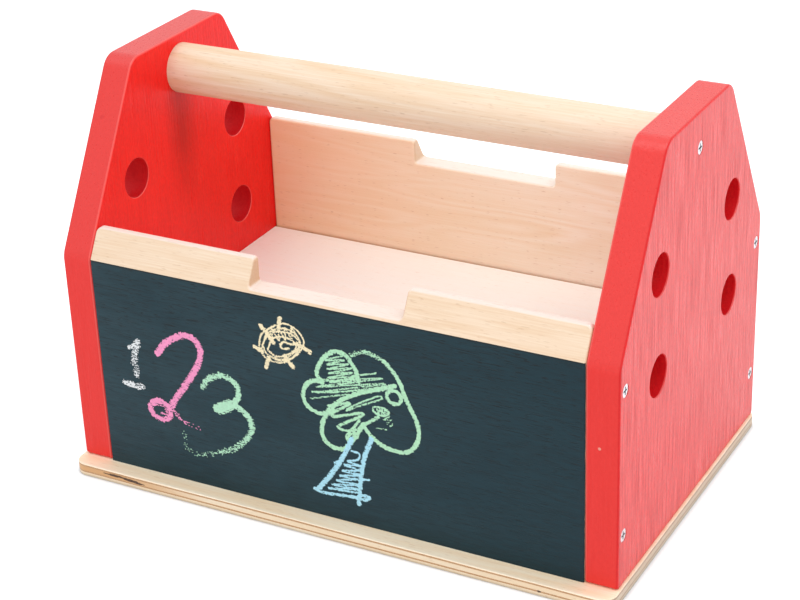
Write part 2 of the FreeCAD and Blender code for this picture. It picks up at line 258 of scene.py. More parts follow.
def coat(tree, body, tint, *masks):
    """Lays a tint over the body's colour where all the masks hold. A mask is a share, a node, or
    a tuple of a value, the ends that it fades between and, unless they are 0 and 1, its shares
    at the ends."""
    share = 1.0
    for mask in masks:
        if isinstance(mask, tuple):
            mask = add(tree, "MapRange", mask)
        share = add(tree, "Math", (share, mask), operation="MULTIPLY")
    return add(tree, "Mix", (share, body, tint), data_type="RGBA")


def timber(name, axis, pale, deep, pore, shift=0.0, figure=0.5, fibre=0.35, pore_level=0.69,
           pore_share=0.8, roughness=0.42, heart=0.0, top=0.0, outer=None, gap=None):
    """Sawn and sanded wood with its grain along the axis, mostly varnished: soft growth rings,
    fine fibres and short dark pores under a satin sheen.

    It may have heartwood on its left, a top edge sanded pale with a painted highlight, an outer
    face of other colours and a dark gap where its back edge meets the next board."""
    material = new_material(name)
    tree = material.node_tree
    c, s = colours(), sizes()
    place, facing = places(tree), facings(tree)
    fibres = streaks(tree, axis, s.fibre_width, s.fibre_length, shift, 3.0)
    clouds = streaks(tree, axis, 3 * s.figure_width, 2 * s.figure_length, shift + 9.0)
    holes = pores(tree, axis, shift + 5.0, pore_level)
    fine = add(tree, "MapRange", (fibres, 0.3, 0.7, 0.0, fibre))
    patchy = add(tree, "MapRange", (clouds, 0.35, 0.65, 0.0, figure))
    grain = add(tree, "Math", (rings(tree, axis, shift + 3.0), patchy, fine),
                operation="MULTIPLY_ADD")
    body = coat(tree, pale, deep, grain)
    if heart:
        body = coat(tree, body, c.heartwood, (place["X"], -130 * MM, 60 * MM, heart, 0.0))
    if outer:
        body = coat(tree, body, coat(tree, *outer, grain), (facing["Y"], 0.4, 0.9))
    across = add(tree, "Math", (facing[axis],), operation="ABSOLUTE")
    body = coat(tree, body, pore, (across, 0.5, 0.9, 0.0, 0.5))
    # The top edges, which face up, are sanded pale and carry a painted highlight.
    if top:
        body = coat(tree, body, c.sanded_top_and_highlight, (facing["Z"], 0.5, 0.9, 0.0, top))
    body = coat(tree, body, pore, holes, pore_share)
    if gap is not None:
        body = coat(tree, body, pore, (place["Y"], gap - 1.0 * MM, gap - 0.6 * MM, 0.0, 0.9))
    rough = add(tree, "MapRange", (fibres, 0.3, 0.7, roughness - 0.05, roughness + 0.07))
    raised = add(tree, "Math", (fibres, 0.5), operation="MULTIPLY")
    height = add(tree, "Math", (raised, holes), operation="SUBTRACT")
    bump = add(tree, "Bump", {"Height": height, "Strength": 0.35, "Distance": 0.12 * MM})
    surface(tree, {"Base Color": body, "Roughness": rough, "IOR": 1.5, "Normal": bump})
    return material


def dress(names, material):
    """Gives construction nodes a material in all their slots."""
    for name in names:
        for place in frame["nodes"][name].material_slots:
            place.material = material


# ---- The finishes ------------------------------------------------------------------------------
# Marks of use, in millimetres: a nick through the stain, and a dent.
NICK = (135.7, -89.0, 77.4)
DENT = (-139.0, -54.7, 176.8)

# Gaps inside the base's plies, seen on its front edge: X, Z, half length and half height in
# millimetres.
VOIDS = ((-120, 4.4, 6.0, 0.6), (-112, 3.9, 5.0, 0.6), (-106.5, 3.4, 3.0, 0.4),
         (111, 2.4, 1.1, 0.6))

# Where each ply starts in the base's thickness: 0 is a face, 1 a crossband and 0.5 the core.
PLIES = ((0.0, 0.0), (0.3, 1.0), (0.43, 0.5), (0.8, 1.0), (0.93, 0.0))


def spot(tree, mark, radius):
    """One inside a ball round a mark, and nought outside."""
    at = add(tree, "TexCoord").outputs["Object"]
    apart = add(tree, "VectorMath", (at, [v * MM for v in mark]), operation="DISTANCE")
    return add(tree, "MapRange", (apart, 0.6 * radius, radius, 1.0, 0.0))


def bores(tree):
    """One on the walls of the tool holes, which go through both ends in pairs."""
    place = places(tree)
    aside = add(tree, "Math", (place["Y"],), operation="ABSOLUTE")
    flat = add(tree, "CombineXYZ", {"Y": aside, "Z": place["Z"]})
    found = 0.0
    for hole in frame["record"]["mounts"]:
        if not hole["name"].startswith("right_tool_hole_back"):
            continue
        radius = hole["dims"]["r_mm"] * MM
        axis = [0.0, abs(hole["pos_m"][1]), hole["pos_m"][2]]
        apart = add(tree, "VectorMath", (flat, axis), operation="DISTANCE")
        near = add(tree, "MapRange", (apart, radius + 0.2 * MM, radius + 0.9 * MM, 1.0, 0.0))
        found = add(tree, "Math", (found, near), operation="ADD")
    return found


def red_stained_rubberwood():
    """Red dye under satin varnish: vivid on the faces, hazier on the sawn edges, dark in bores."""
    c = colours()
    material = new_material("red_dye_stain_on_rubberwood")
    tree = material.node_tree
    place, facing = places(tree), facings(tree)
    # Above nought on the ends' outer faces and below it on their inner faces.
    outward = add(tree, "Math", (place["X"], facing["X"]), operation="MULTIPLY")
    outside = add(tree, "MapRange", (outward, 0.1, 0.14))
    inside = add(tree, "MapRange", (outward, -0.01, 0.01, 1.0, 0.0))
    flat = add(tree, "Math", (facing["X"],), operation="ABSOLUTE")
    edge = add(tree, "MapRange", (flat, 0.35, 0.8, 1.0, 0.0))

    # How deep the dye went: by fibre and grain, drawn coarse enough to show, and in patches.
    fibres = streaks(tree, "Z", 1.0 * MM, 34 * MM, 2.0)
    mottle = streaks(tree, "Z", 1.3 * MM, 1.9 * MM, 4.0, 3.0)
    clouds = streaks(tree, "Z", 18 * MM, 26 * MM, 6.0, 4.0)
    lines = add(tree, "MapRange", (fibres, 0.35, 0.65))
    grains = add(tree, "MapRange", (mottle, 0.35, 0.65))
    patches = add(tree, "MapRange", (clouds, 0.35, 0.7, 0.0, 0.1))
    depth = add(tree, "Math", (patches, inside), operation="MULTIPLY")
    for pattern, where, elsewhere, there in ((grains, inside, 0.3, 0.25),
                                             (lines, outside, 0.15, 0.7)):
        share = add(tree, "MapRange", (where, 0.0, 1.0, elsewhere, there))
        depth = add(tree, "Math", (pattern, share, depth), operation="MULTIPLY_ADD")

    # Painted shadow of the handle: a darker band runs down the left end's inner face under it.
    aside = add(tree, "Math", (place["Y"], 4 * MM), operation="ADD")
    aside = add(tree, "Math", (aside,), operation="ABSOLUTE")
    handle_shadow = inside
    for fade in ((aside, 1 * MM, 14 * MM, 0.8, 0.0), (place["Z"], 112 * MM, 150 * MM),
                 (place["Z"], 172 * MM, 184 * MM, 1.0, 0.0), (place["X"], -100 * MM, -110 * MM)):
        handle_shadow = add(tree, "Math", (handle_shadow, add(tree, "MapRange", fade)), operation="MULTIPLY")
    dye_and_handle_shadow = add(tree, "Math", (depth, handle_shadow), operation="ADD")
    face = coat(tree, c.stain_pale, c.stain_deep, dye_and_handle_shadow)

    end_grain = add(tree, "MapRange", (facing["Z"], 0.1, 1.0, 0.0, 0.8))
    cut = add(tree, "Math", (depth, 0.6, end_grain), operation="MULTIPLY_ADD")
    body = coat(tree, face, coat(tree, c.edge_pale, c.edge_deep, cut), edge)

    # The inner arrises carry a painted highlight, the outer ones are darker, and the bores drank
    # the most.
    rounded = add(tree, "MapRange", (flat, 0.1, 0.4))
    eased = add(tree, "MapRange", (flat, 0.75, 0.97, 1.0, 0.0))
    arris = add(tree, "Math", (rounded, eased), operation="MULTIPLY")
    body = coat(tree, body, c.edge_highlight, arris, inside, 0.25)
    body = coat(tree, body, c.stain_bore, arris, (outward, 0.01, 0.03), 0.45)
    hole = bores(tree)
    wall = add(tree, "MapRange", (flat, 0.1, 0.3, 1.0, 0.0))
    sunk = add(tree, "Math", (hole, wall), operation="MULTIPLY")
    body = coat(tree, body, c.stain_bore, sunk, (lines, 0.0, 1.0, 0.75, 1.0))
    # Painted highlight on the lips at the bottom of the bores, where they face up.
    body = coat(tree, body, c.edge_highlight, hole, arris, (facing["Z"], 0.0, 0.5), 0.15)
    body = coat(tree, body, c.board_pale, spot(tree, NICK, 0.9 * MM), 0.4)
    body = coat(tree, body, c.stain_bore, spot(tree, DENT, 1.4 * MM), 0.4)

    # Varnish shines most on the outer faces and on what faces up, and hardly in the bores.
    up = add(tree, "MapRange", (facing["Z"], 0.0, 1.0, 0.0, 0.6))
    faces = add(tree, "MapRange", (outside, 0.0, 1.0, 0.2, 0.46))
    shine = add(tree, "Math", (edge, up, faces), operation="MULTIPLY_ADD")
    dry = add(tree, "MapRange", (sunk, 0.0, 1.0, 1.0, 0.15))
    shine = add(tree, "Math", (shine, dry), operation="MULTIPLY")
    relief = add(tree, "Math", (mottle, 0.6, fibres), operation="MULTIPLY_ADD")
    surface(tree, {"Base Color": body, "IOR": 1.5, "Specular IOR Level": shine,
                   "Roughness": add(tree, "Math", (lines, 0.2, 0.27), operation="MULTIPLY_ADD"),
                   "Coat Weight": add(tree, "MapRange", (outside, 0.0, 1.0, 0.0, 0.12)),
                   "Coat IOR": 1.5, "Coat Roughness": 0.3,
                   "Normal": add(tree, "Bump", {"Height": relief, "Strength": 0.6,
                                                "Distance": 0.3 * MM})})
    return material


def birch_plywood_base():
    """Five plies pressed and sawn: pale faces and core, and two thin brown crossbands between."""
    c, s = colours(), sizes()
    low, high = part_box("base_board")
    material = new_material("sanded_birch_plywood_base")
    tree = material.node_tree
    place = places(tree)
    fibres = streaks(tree, "X", s.fibre_width, s.fibre_length, 11.0, 3.0)
    fine = add(tree, "MapRange", (fibres, 0.3, 0.7, 0.0, 0.4))
    grain = add(tree, "Math", (rings(tree, "X", 12.0, 5.0), 0.4, fine), operation="MULTIPLY_ADD")
    face = coat(tree, c.veneer_pale, c.veneer_deep, grain)
    speckle = streaks(tree, "Y", 0.6 * MM, 20 * MM, 15.0)
    brown = coat(tree, c.crossband, c.veneer_deep, (speckle, 0.4, 0.8, 0.0, 0.5))
    tan = coat(tree, face, c.core, (place["X"], -115 * MM, -65 * MM, 1.0, 0.15))

    # The glue lines wander a little in height along the board.
    wander = streaks(tree, "X", 9 * MM, 60 * MM, 4.0, 1.0)
    drift = add(tree, "MapRange", (wander, 0.3, 0.7, -0.15 * MM, 0.15 * MM))
    level = add(tree, "Math", (place["Z"], drift), operation="ADD")
    layers = add(tree, "ValToRGB", (add(tree, "MapRange", (level, low.z, high.z)),))
    ramp = layers.color_ramp
    ramp.interpolation = "CONSTANT"
    for i, (start, shade) in enumerate(PLIES):
        stop = ramp.elements[i] if i < 2 else ramp.elements.new(start)
        stop.position = start
        stop.color = (shade, shade, shade, 1.0)
    wood = coat(tree, face, tan, (layers, 0.0, 0.5))
    wood = coat(tree, wood, brown, (layers, 0.5, 1.0))

    # The gaps inside the plies have torn outlines, and show on the front edge alone.
    splinters = streaks(tree, "X", 0.7 * MM, 2.5 * MM, 21.0)
    torn = add(tree, "MapRange", (splinters, 0.3, 0.7, -0.8, 0.8))
    gaps = 0.0
    for x, z, half_length, half_height in VOIDS:
        reached = torn
        for where, middle, half in ((place["X"], x, half_length), (place["Z"], z, half_height)):
            off = add(tree, "Math", (where, 1 / (half * MM), -middle / half),
                      operation="MULTIPLY_ADD")
            reached = add(tree, "Math", (off, off, reached), operation="MULTIPLY_ADD")
        gap = add(tree, "MapRange", (reached, 0.7, 1.3, 1.0, 0.0))
        gaps = add(tree, "Math", (gaps, gap), operation="ADD")
    wood = coat(tree, wood, c.void, gaps,
                (place["Y"], low.y + 3 * MM, low.y + 4 * MM, 1.0, 0.0))

    # Grey sawn edges left and right, darkened further as painted shade, a painted contact shade
    # along the foot, and a painted highlight along the front's top arris.
    wood = coat(tree, wood, c.crossband, pores(tree, "X", 17.0, 0.72), 0.25)
    across = add(tree, "Math", (facings(tree)["X"],), operation="ABSOLUTE")
    wood = coat(tree, wood, c.sawn_ply_and_shade, (across, 0.5, 0.9, 0.0, 0.55))
    # Painted contact shade: darker along the foot.
    wood = coat(tree, wood, c.void, (place["Z"], 0.5 * MM, 2.0 * MM, 0.35, 0.0))
    wood = coat(tree, wood, c.arris_highlight, 0.6,
                (place["Y"], low.y + 2.2 * MM, low.y + 1.2 * MM),
                (place["Z"], high.z - 0.4 * MM, high.z - 0.2 * MM))
    bump = add(tree, "Bump", {"Height": fibres, "Strength": 0.3, "Distance": 0.1 * MM})
    surface(tree, {"Base Color": wood, "Roughness": 0.5, "IOR": 1.5, "Normal": bump})
    return material


def blackboard_paint():
    """Matt paint rolled on over open-pored wood: the pores show as dark dashes, drawn wide enough
    to show, and dust as haze."""
    c = colours()
    material = new_material("rolled_blackboard_paint")
    tree = material.node_tree
    place = places(tree)
    top = front_face()[3]
    haze = streaks(tree, "X", 30 * MM, 60 * MM, 31.0, 4.0)
    fine = streaks(tree, "X", 0.8 * MM, 10 * MM, 33.0, 3.0)
    dashes = streaks(tree, "X", 0.5 * MM, 4.5 * MM, 35.0, 0.0)
    long_dashes = streaks(tree, "X", 0.5 * MM, 13 * MM, 37.0, 0.0)
    sunk = add(tree, "Math", (add(tree, "MapRange", (dashes, 0.66, 0.72)),
                              add(tree, "MapRange", (long_dashes, 0.68, 0.74))), operation="ADD")
    body = coat(tree, c.slate, c.slate_dust, (haze, 0.2, 0.75),
                (place["X"], -130 * MM, 130 * MM, 1.0, 0.1))
    body = coat(tree, body, c.slate_pore, (fine, 0.35, 0.65), 0.3)
    body = coat(tree, body, c.slate_pore, sunk, (place["Z"], 20 * MM, top, 0.3, 0.7))
    # A dark ridge of paint stands along the top, where the roller stopped.
    body = coat(tree, body, c.slate_pore, (place["Z"], top - 1.0 * MM, top - 0.3 * MM, 0.0, 0.85))
    raised = add(tree, "Math", (fine, 0.5), operation="MULTIPLY")
    height = add(tree, "Math", (raised, sunk), operation="SUBTRACT")
    bump = add(tree, "Bump", {"Height": height, "Strength": 0.5, "Distance": 0.12 * MM})
    surface(tree, {"Base Color": body, "Roughness": 0.6, "IOR": 1.4, "Specular IOR Level": 0.4,
                   "Normal": bump})
    return material


def chalk(name, shade):
    """Dry chalk rubbed on: matt, thinner and darker where the board shows through the powder,
    which is drawn as coarse as it needs to show."""
    material = new_material(name)
    tree = material.node_tree
    powder = streaks(tree, "X", 0.7 * MM, 1.1 * MM, 41.0, 3.0)
    body = coat(tree, shade, colours().slate_dust, (powder, 0.35, 0.65, 0.18, 0.0))
    bump = add(tree, "Bump", {"Height": powder, "Strength": 0.5, "Distance": 0.1 * MM})
    surface(tree, {"Base Color": body, "Roughness": 0.95, "IOR": 1.4, "Normal": bump})
    return material


def zinc_plated_steel():
    """Bright zinc on pressed and turned steel: clean, faintly uneven reflections."""
    material = new_material("bright_zinc_on_steel")
    tree = material.node_tree
    cloudy = streaks(tree, "X", 1.2 * MM, 1.2 * MM, 51.0)
    rough = add(tree, "MapRange", (cloudy, 0.3, 0.7, 0.22, 0.36))
    bump = add(tree, "Bump", {"Height": cloudy, "Strength": 0.1, "Distance": 0.05 * MM})
    surface(tree, {"Base Color": colours().zinc, "Metallic": 1.0, "Roughness": rough,
                   "Normal": bump})
    return material


# ---- New pieces --------------------------------------------------------------------------------
# The radius of the front board's eased side edges, which the paint follows.
EASED = 1.2 * MM

# The film's columns across each eased edge and each half of the flat face, and its rows.
EDGE_COLUMNS, FACE_COLUMNS, FILM_ROWS = 8, 10, 40


def mesh_piece(name, corners, faces, material, body):
    """A new mesh object of one material that rides on a body."""
    mesh = bpy.data.meshes.new(name)
    mesh.from_pydata(corners, [], faces)
    mesh.validate()
    mesh.materials.append(material)
    piece = bpy.data.objects.new(name, mesh)
    bpy.context.scene.collection.objects.link(piece)
    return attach(piece, body)


def front_face():
    """The front board's flat face: where it lies in Y, its half width, foot and shoulder line."""
    low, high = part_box("front_panel")
    corners = frame["nodes"]["front_panel"].data.vertices
    shoulder = max(v.co.z for v in corners if v.co.y < low.y + 0.01 * MM)
    return low.y, high.x, low.z, shoulder


def paint_film():
    """The blackboard: a thin film on the front board, a little ragged beside its eased edges."""
    s = sizes()
    face_y, half, foot, shoulder = front_face()
    reach = half - s.paint_bare
    start = half - EASED - 0.1 * MM
    eased = [start + i * (reach - start) / EDGE_COLUMNS for i in range(EDGE_COLUMNS + 1)]
    flat = [start * i / FACE_COLUMNS for i in range(1 - FACE_COLUMNS, FACE_COLUMNS)]
    across = [-x for x in reversed(eased)] + flat + eased
    columns = len(across) - 1
    corners, faces = [], []
    for j in range(FILM_ROWS + 1):
        z = foot + (shoulder - foot) * j / FILM_ROWS
        for i, x in enumerate(across):
            if i in (0, columns):
                ragged = noise.noise(Vector((x * 9, z * 160, 3.0))) * 0.2 * MM
                x = math.copysign(reach - abs(ragged), x)
            past = max(abs(x) - (half - EASED), 0.0)
            sink = EASED - math.sqrt(EASED ** 2 - past ** 2)
            corners.append((x, face_y - s.paint_thick + sink, z))
    for j in range(FILM_ROWS):
        for i in range(columns):
            a = j * (columns + 1) + i
            faces.append((a, a + 1, a + columns + 2, a + columns + 1))
    film = mesh_piece("blackboard_paint", corners, faces, blackboard_paint(), "tote")
    thick = film.modifiers.new("two_coats", "SOLIDIFY")
    thick.thickness = s.paint_thick
    thick.offset = -1.0
    return film


# ---- Chalk -------------------------------------------------------------------------------------
# Chalk stays where its pressure, raised or lowered by the board's roughness, passes this.
HOLDS = 0.36


def curve_through(points, step):
    """Points a step apart on a smooth curve through the given ones (Catmull-Rom)."""
    knots = [Vector(p) for p in points]
    knots = [2 * knots[0] - knots[1]] + knots + [2 * knots[-1] - knots[-2]]
    found = []
    for a, b, c, d in zip(knots, knots[1:], knots[2:], knots[3:]):
        count = max(2, int((c - b).length / step))
        for i in range(count):
            t = i / count
            found.append(0.5 * (2 * b + (c - a) * t + (2 * a - 5 * b + 4 * c - d) * t * t
                                + (3 * b - a - 3 * c + d) * t ** 3))
    return found + [knots[-2]]


def zigzag(start, end, turns, swing, last_swing):
    """Control points of a to-and-fro scribble from start to end; it swings across the way."""
    first, last = Vector(start), Vector(end)
    way = last - first
    across = Vector((-way.y, way.x)).normalized()
    found = []
    for i in range(turns + 1):
        reach = swing + (last_swing - swing) * i / turns
        reach *= 1 + 0.25 * noise.noise(Vector((i * 3.1, turns, swing)))
        found.append(tuple(first + way * i / turns + across * reach * (-1) ** i))
    return found


def arc(centre, wide, tall, start, end, count=9):
    """Control points on an ellipse between two angles in degrees."""
    turns = [math.radians(start + (end - start) * i / (count - 1)) for i in range(count)]
    return [(centre[0] + wide * math.cos(a), centre[1] + tall * math.sin(a)) for a in turns]


def rubbed(strokes, seed):
    """Cells of the chalk's grain that hold chalk. A stroke is its width, its first and last
    pressure, and its control points, in millimetres on the board."""
    grain = sizes().chalk_grain / MM
    pressed = {}
    for width, firm, faint, points in strokes:
        path = curve_through(points, 0.6 * grain)
        for n, spot in enumerate(path):
            pressure = firm + (faint - firm) * n / len(path)
            wobble = 1 + 0.22 * noise.noise(Vector((spot.x * 0.6, spot.y * 0.6, seed)))
            reach = width / 2 * wobble
            span = int(reach / grain) + 1
            ci, cj = round(spot.x / grain), round(spot.y / grain)
            for i in range(ci - span, ci + span + 1):
                for j in range(cj - span, cj + span + 1):
                    off = math.hypot(i * grain - spot.x, j * grain - spot.y) / reach
                    if off < 1:
                        weight = pressure * (1 - off ** 3)
                        pressed[i, j] = max(pressed.get((i, j), 0.0), weight)
    kept = []
    for (i, j), weight in pressed.items():
        at = Vector((i * grain, j * grain, seed))
        crumbs = noise.noise(Vector((at.x * 1.2, at.y * 1.9, seed)))
        skips = noise.noise(Vector((at.x * 0.3, at.y * 1.3, seed + 20)))
        if weight + 0.75 * crumbs + 0.5 * skips > HOLDS:
            kept.append((i, j))
    return kept


def chalk_drawing(name, strokes, shade, layer):
    """One chalk drawing as a welded sheet of crumbs on the paint; later layers lie on top."""
    s = sizes()
    seed = bpy.context.scene.tote_stage.chalk_seed
    # Without a seed, noise_vector follows the clock and each run would shake the crumbs anew.
    noise.seed_set(seed)
    grain = s.chalk_grain
    face_y = front_face()[0] - s.paint_thick
    numbers, corners, faces = {}, [], []
    for i, j in rubbed(strokes, seed):
        face = []
        for di, dj in ((0, 0), (1, 0), (1, 1), (0, 1)):
            key = (i + di, j + dj)
            if key not in numbers:
                numbers[key] = len(corners)
                shake = noise.noise_vector(Vector((key[0] * 1.7, key[1] * 1.3, seed))) * 0.45
                corners.append(((key[0] - 0.5 + shake.x) * grain, face_y - s.chalk_thick * layer,
                                (key[1] - 0.5 + shake.y) * grain))
            face.append(numbers[key])
        faces.append(face)
    sheet = mesh_piece(name, corners, faces, chalk("rubbed_" + name, shade), "tote")
    crust = sheet.modifiers.new("crumbs", "SOLIDIFY")
    crust.thickness = 0.8 * s.chalk_thick
    crust.offset = -1.0
    return sheet


ONE = [
    (4.3, 0.55, 0.3, [(-105.5, 78), (-107.3, 73), (-108.5, 67), (-107.6, 60)]),
    (2.6, 0.6, 0.5, [(-107.5, 76), (-111, 74)]),
    (3.9, 0.6, 0.5, [(-115.5, 54), (-111, 53.5), (-105.5, 53.5)]),
]
TWO = [
    (3.8, 0.95, 0.75, [(-94, 74.5), (-88.5, 81.5), (-78, 87.5), (-71.5, 86), (-69, 80),
                       (-72.5, 71), (-80, 59.5), (-86, 51.5), (-88.5, 47)]),
    (3.5, 0.85, 0.7, arc((-95.5, 43), 6.0, 5.0, 20, 375, 13)),
    (1.8, 0.45, 0.35, [(-99, 45), (-94, 46), (-92, 42), (-96, 41)]),
    (2.4, 0.45, 0.0, [(-88, 44.5), (-83.5, 40.5), (-79, 39), (-73, 38)]),
]
THREE = [
    (3.6, 0.5, 0.85, [(-69.5, 61.5), (-66, 66.5), (-59.5, 70), (-53.5, 69.5), (-49.5, 66),
                      (-49.5, 61), (-52, 57)]),
    (6.6, 1.0, 1.0, [(-61.5, 51.5), (-58, 53), (-54, 55.5)]),
    (3.7, 0.85, 0.35, [(-52, 56), (-45, 51.5), (-43, 46), (-46, 39), (-54, 31.5), (-61.5, 27.5)]),
    (2.9, 0.35, 0.05, [(-61.5, 27.5), (-69, 24.5), (-76, 22.5)]),
    (2.8, 0.1, 0.0, [(-76, 22.5), (-82, 25), (-82.5, 34)]),
]
SUN = [
    (1.1, 0.85, 0.6, [(-35.5, 91), (-34, 97), (-29, 101.5), (-22, 105.5), (-15, 104), (-11, 99),
                      (-12.5, 94), (-17, 89), (-23, 85), (-29, 84.5), (-33, 86), (-35.5, 91)]),
    (1.1, 0.85, 0.6, [(-33.5, 92), (-30, 99), (-22, 103), (-15.5, 101.5), (-13, 97.5), (-15, 92),
                      (-20, 87), (-26, 85.8), (-31.5, 88), (-33.5, 92)]),
    (1.1, 0.85, 0.6, [(-34.5, 89), (-31.5, 96), (-25.5, 100.5), (-18, 101), (-13.5, 98),
                      (-14.5, 94), (-22, 87), (-28, 86.5), (-33, 88.5)]),
    (1.1, 0.85, 0.7, [(-31, 90), (-27.5, 96.5), (-21, 98.5), (-15.5, 96.5), (-16.5, 92.5),
                      (-22.5, 88.5), (-27, 87.5), (-31, 90)]),
    (1.0, 0.75, 0.6, zigzag((-30.5, 97.5), (-14.5, 102), 9, 2.6, 2.8)),
    (1.5, 0.85, 0.7, [(-19.5, 93), (-23, 92.5), (-23.5, 94.5), (-21.5, 96), (-18, 95.5),
                      (-15, 97)]),
    (2.6, 0.95, 0.85, [(-24, 103), (-23.2, 108)]),
    (2.6, 0.95, 0.85, [(-27.5, 94.5), (-33.8, 102)]),
    (2.6, 0.95, 0.85, [(-34, 88.5), (-38, 90)]),
    (2.6, 0.95, 0.85, [(-30.5, 86), (-32.5, 80.5)]),
    (2.6, 0.95, 0.85, [(-21.5, 88.5), (-17.7, 84)]),
    (2.6, 0.95, 0.85, [(-15, 96.5), (-8, 93.8)]),
]
CROWN = [
    (2.6, 0.9, 0.9, [(-2, 79), (-5, 83), (-3, 89), (1, 94), (6, 97), (11, 96), (14, 92.5),
                     (16, 89), (17, 84)]),
    (2.6, 0.95, 0.95, [(-2, 79), (-7, 79), (-11, 76), (-13, 71), (-12, 66), (-8, 63), (-2, 63),
                       (6, 71), (16, 77.5), (27, 82), (36, 86)]),
    (2.5, 0.35, 0.95, [(14, 97), (21, 100), (26, 99), (31, 97), (36, 92), (39, 87)]),
    (2.6, 0.95, 0.95, [(39, 87), (41, 81), (44, 75), (47, 68), (47, 61), (44, 55), (39, 52),
                       (32, 52), (26, 54), (21, 58), (18.5, 62)]),
    (2.6, 0.9, 0.95, [(3, 66), (-2, 61), (-4, 54), (-3, 49), (1, 46), (7, 46), (11, 50),
                      (15.5, 57), (18.5, 62)]),
    (2.2, 0.9, 0.9, arc((35.3, 79.8), 3.7, 3.4, 30, 400, 11)),
    (0.95, 0.75, 0.7, zigzag((5, 94), (9.5, 80.5), 13, 4.5, 9.0)),
    (0.95, 0.7, 0.55, zigzag((10.5, 85.5), (13.4, 76), 7, 17.5, 21.0)),
    (1.1, 0.8, 0.6, [(-8, 73), (4, 75.5), (20, 80.5), (36, 86.5)]),
    (1.0, 0.8, 0.7, [(10, 68), (17.5, 73), (27, 78.5), (29, 78), (27, 76.5), (17.5, 71.5),
                     (10, 67)]),
    (1.7, 0.85, 0.8, [(0.5, 67.5), (12, 71.5), (3, 64.5), (3.5, 62.5), (17, 67.5), (17.5, 66),
                      (6, 58.5), (6, 56.5), (11.5, 57), (16.5, 63.5)]),
    (2.4, 0.85, 0.8, [(14.5, 58), (10, 54), (10.5, 51.5), (15, 55)]),
    (2.0, 0.9, 0.7, [(18.5, 61.5), (22.5, 64.5), (26.5, 67.5)]),
    (1.2, 0.85, 0.7, arc((28, 71), 4.2, 2.2, 200, 560, 11)),
    (0.9, 0.7, 0.55, zigzag((26, 70.8), (31, 71.2), 7, 1.5, 1.5)),
    (0.9, 0.6, 0.25, zigzag((30, 70.5), (33, 64), 7, 2.4, 1.2)),
    (0.9, 0.55, 0.35, [(25.5, 61.5), (30.5, 62)]),
]
TRUNK = [
    (2.9, 0.9, 0.9, [(12, 52.5), (6, 40.5), (-1, 29.5), (-8, 20.5)]),
    (2.9, 0.9, 0.9, [(22.5, 55), (18.5, 45), (16, 34), (14, 18)]),
    (1.9, 0.85, 0.85, [(-10, 20.5), (-6, 19.3), (2, 20), (11, 21), (17.5, 21), (20, 23),
                       (14.8, 23)]),
    (1.2, 0.8, 0.75, [(11.5, 46), (15.5, 45.5), (14.5, 42), (9, 40), (15.5, 39), (7, 37.5),
                      (15, 36.5), (6, 34), (15.5, 34), (4.5, 31), (15, 31.5), (19.5, 32.5),
                      (2.5, 28), (15, 28.5), (0, 25), (14.5, 26), (-2, 22.5), (14, 24)]),
    (1.1, 0.7, 0.6, [(5.5, 38.5), (2.3, 38), (2.2, 36)]),
]


# ---- Operators: one for each piece or group of like pieces -------------------------------------
class TOTE_OT_ends(bpy.types.Operator):
    """Stain both ends red and varnish them"""
    bl_idname = "tote.ends"
    bl_label = "Ends"

    def execute(self, context):
        dress(["left_end", "right_end"], red_stained_rubberwood())
        return {"FINISHED"}


class TOTE_OT_handle(bpy.types.Operator):
    """Varnish the turned handle"""
    bl_idname = "tote.handle"
    bl_label = "Handle"

    def execute(self, context):
        c = colours()
        dress(["handle_rod"], timber(
            "varnished_turned_rubberwood", "X", c.handle_pale, c.handle_deep, c.handle_pore,
            shift=61.0, figure=0.5, fibre=0.5, pore_level=0.73, pore_share=0.3))
        return {"FINISHED"}


class TOTE_OT_boards(bpy.types.Operator):
    """Varnish the front and back boards"""
    bl_idname = "tote.boards"
    bl_label = "Front and back boards"

    def execute(self, context):
        c = colours()
        dress(["front_panel"], timber(
            "varnished_rubberwood_front", "X", c.board_pale, c.board_deep, c.board_pore,
            shift=71.0, figure=0.2, fibre=0.55, pore_level=0.72, pore_share=0.3, top=0.8))
        dress(["back_panel"], timber(
            "varnished_rubberwood_back", "X", c.back_pale, c.back_deep, c.board_pore,
            shift=78.0, figure=0.6, fibre=0.35, pore_level=0.73, pore_share=0.35,
            heart=0.5, top=0.7, outer=(c.board_pale, c.board_deep)))
        return {"FINISHED"}


class TOTE_OT_blackboard(bpy.types.Operator):
    """Paint the front board's flat face with blackboard paint"""
    bl_idname = "tote.blackboard"
    bl_label = "Blackboard paint"

    def execute(self, context):
        paint_film()
        return {"FINISHED"}


class TOTE_OT_chalk(bpy.types.Operator):
    """Draw the numerals, the sun and the tree in chalk"""
    bl_idname = "tote.chalk"
    bl_label = "Chalk drawings"

    def execute(self, context):
        c = colours()
        for name, strokes, shade, layer in (
                ("chalk_one", ONE, c.chalk_white, 1),
                ("chalk_two", TWO, c.chalk_pink, 1),
                ("chalk_three", THREE, c.chalk_mint, 1.5),
                ("chalk_sun", SUN, c.chalk_cream, 1),
                ("chalk_crown", CROWN, c.chalk_green, 1),
                ("chalk_trunk", TRUNK, c.chalk_blue, 1.5)):
            chalk_drawing(name, strokes, shade, layer)
        return {"FINISHED"}


class TOTE_OT_base(bpy.types.Operator):
    """Show the base's plies, glue lines and face veneer"""
    bl_idname = "tote.base"
    bl_label = "Plywood base"

    def execute(self, context):
        dress(["base_board"], birch_plywood_base())
        return {"FINISHED"}


